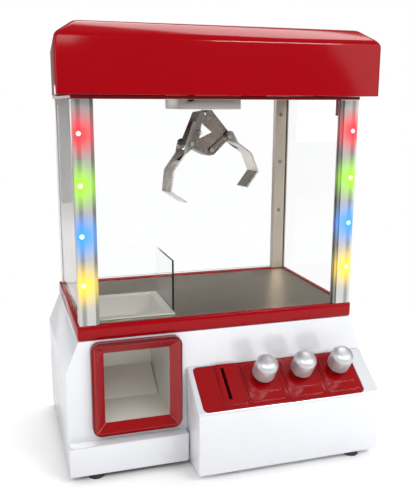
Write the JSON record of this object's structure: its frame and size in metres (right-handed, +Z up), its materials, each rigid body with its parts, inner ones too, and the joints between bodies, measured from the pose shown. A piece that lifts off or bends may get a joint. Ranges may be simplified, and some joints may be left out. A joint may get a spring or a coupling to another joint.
{
  "type": "claw crane machine",
  "caption": "Tabletop claw crane machine: a clear cab with a motor gantry and two-armed claw, over a base with a prize chute, coin slot and tilting control levers.",
  "frame": {"origin": "on the ground at the middle of the outline's bounding box", "axes": "+X to the machine's right as a player sees it, +Y to the back, away from the player, +Z up"},
  "size_m": [0.2588, 0.1864, 0.356],
  "materials": {
    "base_white": "smooth silver-white",
    "gloss_red": "high gloss",
    "dark_red": "satin",
    "floor_sheet": "brushed, dark",
    "satin_silver": "satin silver paint",
    "clear_sheet": "clear, polished",
    "lamp_strip": "frosted lamps on a white strip",
    "steel": "brushed",
    "knob_silver": "satin plated",
    "black_plastic": "satin",
    "foot_rubber": "matte",
    "nylon": "satin",
    "circuit_board": "solder mask",
    "braided_cord": "braided",
    "claw_steel": "pressed and polished, dark"
  },
  "bodies": {
    "machine": {"base_shell": "base_white", "control_box": "base_white", "bottom_plate": "black_plastic", "battery_door": "black_plastic", "foot_front_left": "foot_rubber", "foot_front_right": "foot_rubber", "foot_rear_left": "foot_rubber", "foot_rear_right": "foot_rubber", "ledge_frame": "gloss_red", "hood_shell": "gloss_red", "prize_bezel": "gloss_red", "control_panel": "gloss_red", "top_frame": "dark_red", "playfield_floor": "floor_sheet", "prize_chute": "satin_silver", "chute_guard": "clear_sheet", "front_window": "clear_sheet", "left_window": "clear_sheet", "right_window": "clear_sheet", "post_front_left": "satin_silver", "post_front_right": "satin_silver", "post_rear_left": "satin_silver", "post_rear_right": "satin_silver", "led_strip_left": "lamp_strip", "led_strip_right": "lamp_strip", "door_hinge_rod": "steel", "lever_frame": "nylon", "switch_board": "circuit_board", "coin_tube": "nylon", "main_board": "circuit_board", "speaker": "black_plastic", "power_socket": "black_plastic", "rail_left": "nylon", "rail_right": "nylon"},
    "bridge": {"bridge_frame": "nylon", "bridge_rod_front": "steel", "bridge_rod_rear": "steel", "y_motor": "steel"},
    "y_pinion": {"y_pinion": "nylon"},
    "carriage": {"carriage_cover": "satin_silver", "carriage_frame": "black_plastic", "hoist_motor": "black_plastic", "x_motor": "steel", "hoist_cord": "braided_cord"},
    "x_pinion": {"x_pinion": "nylon"},
    "hoist_drum": {"hoist_drum": "nylon"},
    "claw": {"claw_body": "claw_steel", "claw_pin_left": "steel", "claw_pin_right": "steel"},
    "claw_arm_left": {"claw_arm_left": "claw_steel"},
    "claw_arm_right": {"claw_arm_right": "claw_steel"},
    "lever_1": {"lever_1": "black_plastic", "knob_1": "knob_silver"},
    "lever_2": {"lever_2": "black_plastic", "knob_2": "knob_silver"},
    "lever_3": {"lever_3": "black_plastic", "knob_3": "knob_silver"},
    "coin_feeler": {"coin_feeler": "steel"},
    "rear_door": {"rear_door": "clear_sheet"},
    "power_switch": {"power_switch": "black_plastic"}
  },
  "joints": [
    {"name": "bridge_slide", "type": "slide", "parent": "machine", "child": "bridge", "axis": [0, 1, 0], "range_m": [-0.034, 0.036]},
    {"name": "y_pinion_spin", "type": "hinge", "parent": "bridge", "child": "y_pinion", "pos_m": [0.094, 0.01425, 0.31315], "axis": [1, 0, 0], "range_deg": [-345, 326]},
    {"name": "carriage_slide", "type": "slide", "parent": "bridge", "child": "carriage", "axis": [1, 0, 0], "range_m": [-0.065, 0.034]},
    {"name": "x_pinion_spin", "type": "hinge", "parent": "carriage", "child": "x_pinion", "pos_m": [0.0033, 0.04225, 0.32695], "axis": [0, 1, 0], "range_deg": [-622, 326]},
    {"name": "hoist_slide", "type": "slide", "parent": "carriage", "child": "claw", "axis": [0, 0, -1], "range_m": [0, 0.08], "deforming": ["hoist_cord"]},
    {"name": "hoist_drum_spin", "type": "hinge", "parent": "carriage", "child": "hoist_drum", "pos_m": [0.0033, 0.01935, 0.3026], "axis": [1, 0, 0], "range_deg": [-1, 900]},
    {"name": "claw_arm_right_hinge", "type": "hinge", "parent": "claw", "child": "claw_arm_right", "pos_m": [0.02551, 0.01897, 0.26968], "axis": [-0.2079, 0.9781, 0], "range_deg": [0, 30]},
    {"name": "claw_arm_left_hinge", "type": "hinge", "parent": "claw", "child": "claw_arm_left", "pos_m": [-0.0112, 0.01117, 0.26374], "axis": [-0.2079, 0.9781, 0], "range_deg": [-30, 0]},
    {"name": "lever_1_tilt", "type": "hinge", "parent": "machine", "child": "lever_1", "pos_m": [0.0298, -0.06712, 0.06964], "axis": [0, 0.8212, 0.5707], "range_deg": [-12, 12], "stiffness_Nm_per_rad": 0.02},
    {"name": "lever_2_tilt", "type": "hinge", "parent": "machine", "child": "lever_2", "pos_m": [0.0641, -0.06712, 0.06964], "axis": [1, 0, 0], "range_deg": [-12, 12], "stiffness_Nm_per_rad": 0.02},
    {"name": "lever_3_tilt", "type": "hinge", "parent": "machine", "child": "lever_3", "pos_m": [0.0984, -0.06712, 0.06964], "axis": [1, 0, 0], "range_deg": [-12, 12], "stiffness_Nm_per_rad": 0.02},
    {"name": "coin_feeler_tip", "type": "hinge", "parent": "machine", "child": "coin_feeler", "pos_m": [0.0046, -0.064, 0.05586], "axis": [0, 0.8212, 0.5707], "range_deg": [-18, 0], "stiffness_Nm_per_rad": 0.0005},
    {"name": "rear_door_swing", "type": "hinge", "parent": "machine", "child": "rear_door", "pos_m": [0.1127, 0.09115, 0.215], "axis": [0, 0, 1], "range_deg": [-95, 0]},
    {"name": "power_switch_slide", "type": "slide", "parent": "machine", "child": "power_switch", "axis": [0, 0, 1], "range_m": [0, 0.0062]}
  ],
  "couplings": [
    {"joint": "y_pinion_spin", "follows": "bridge_slide", "rad_per_m": -166.67},
    {"joint": "x_pinion_spin", "follows": "carriage_slide", "rad_per_m": 166.67},
    {"joint": "hoist_drum_spin", "follows": "hoist_slide", "rad_per_m": 196.08},
    {"joint": "claw_arm_left_hinge", "follows": "claw_arm_right_hinge", "ratio": -1}
  ]
}
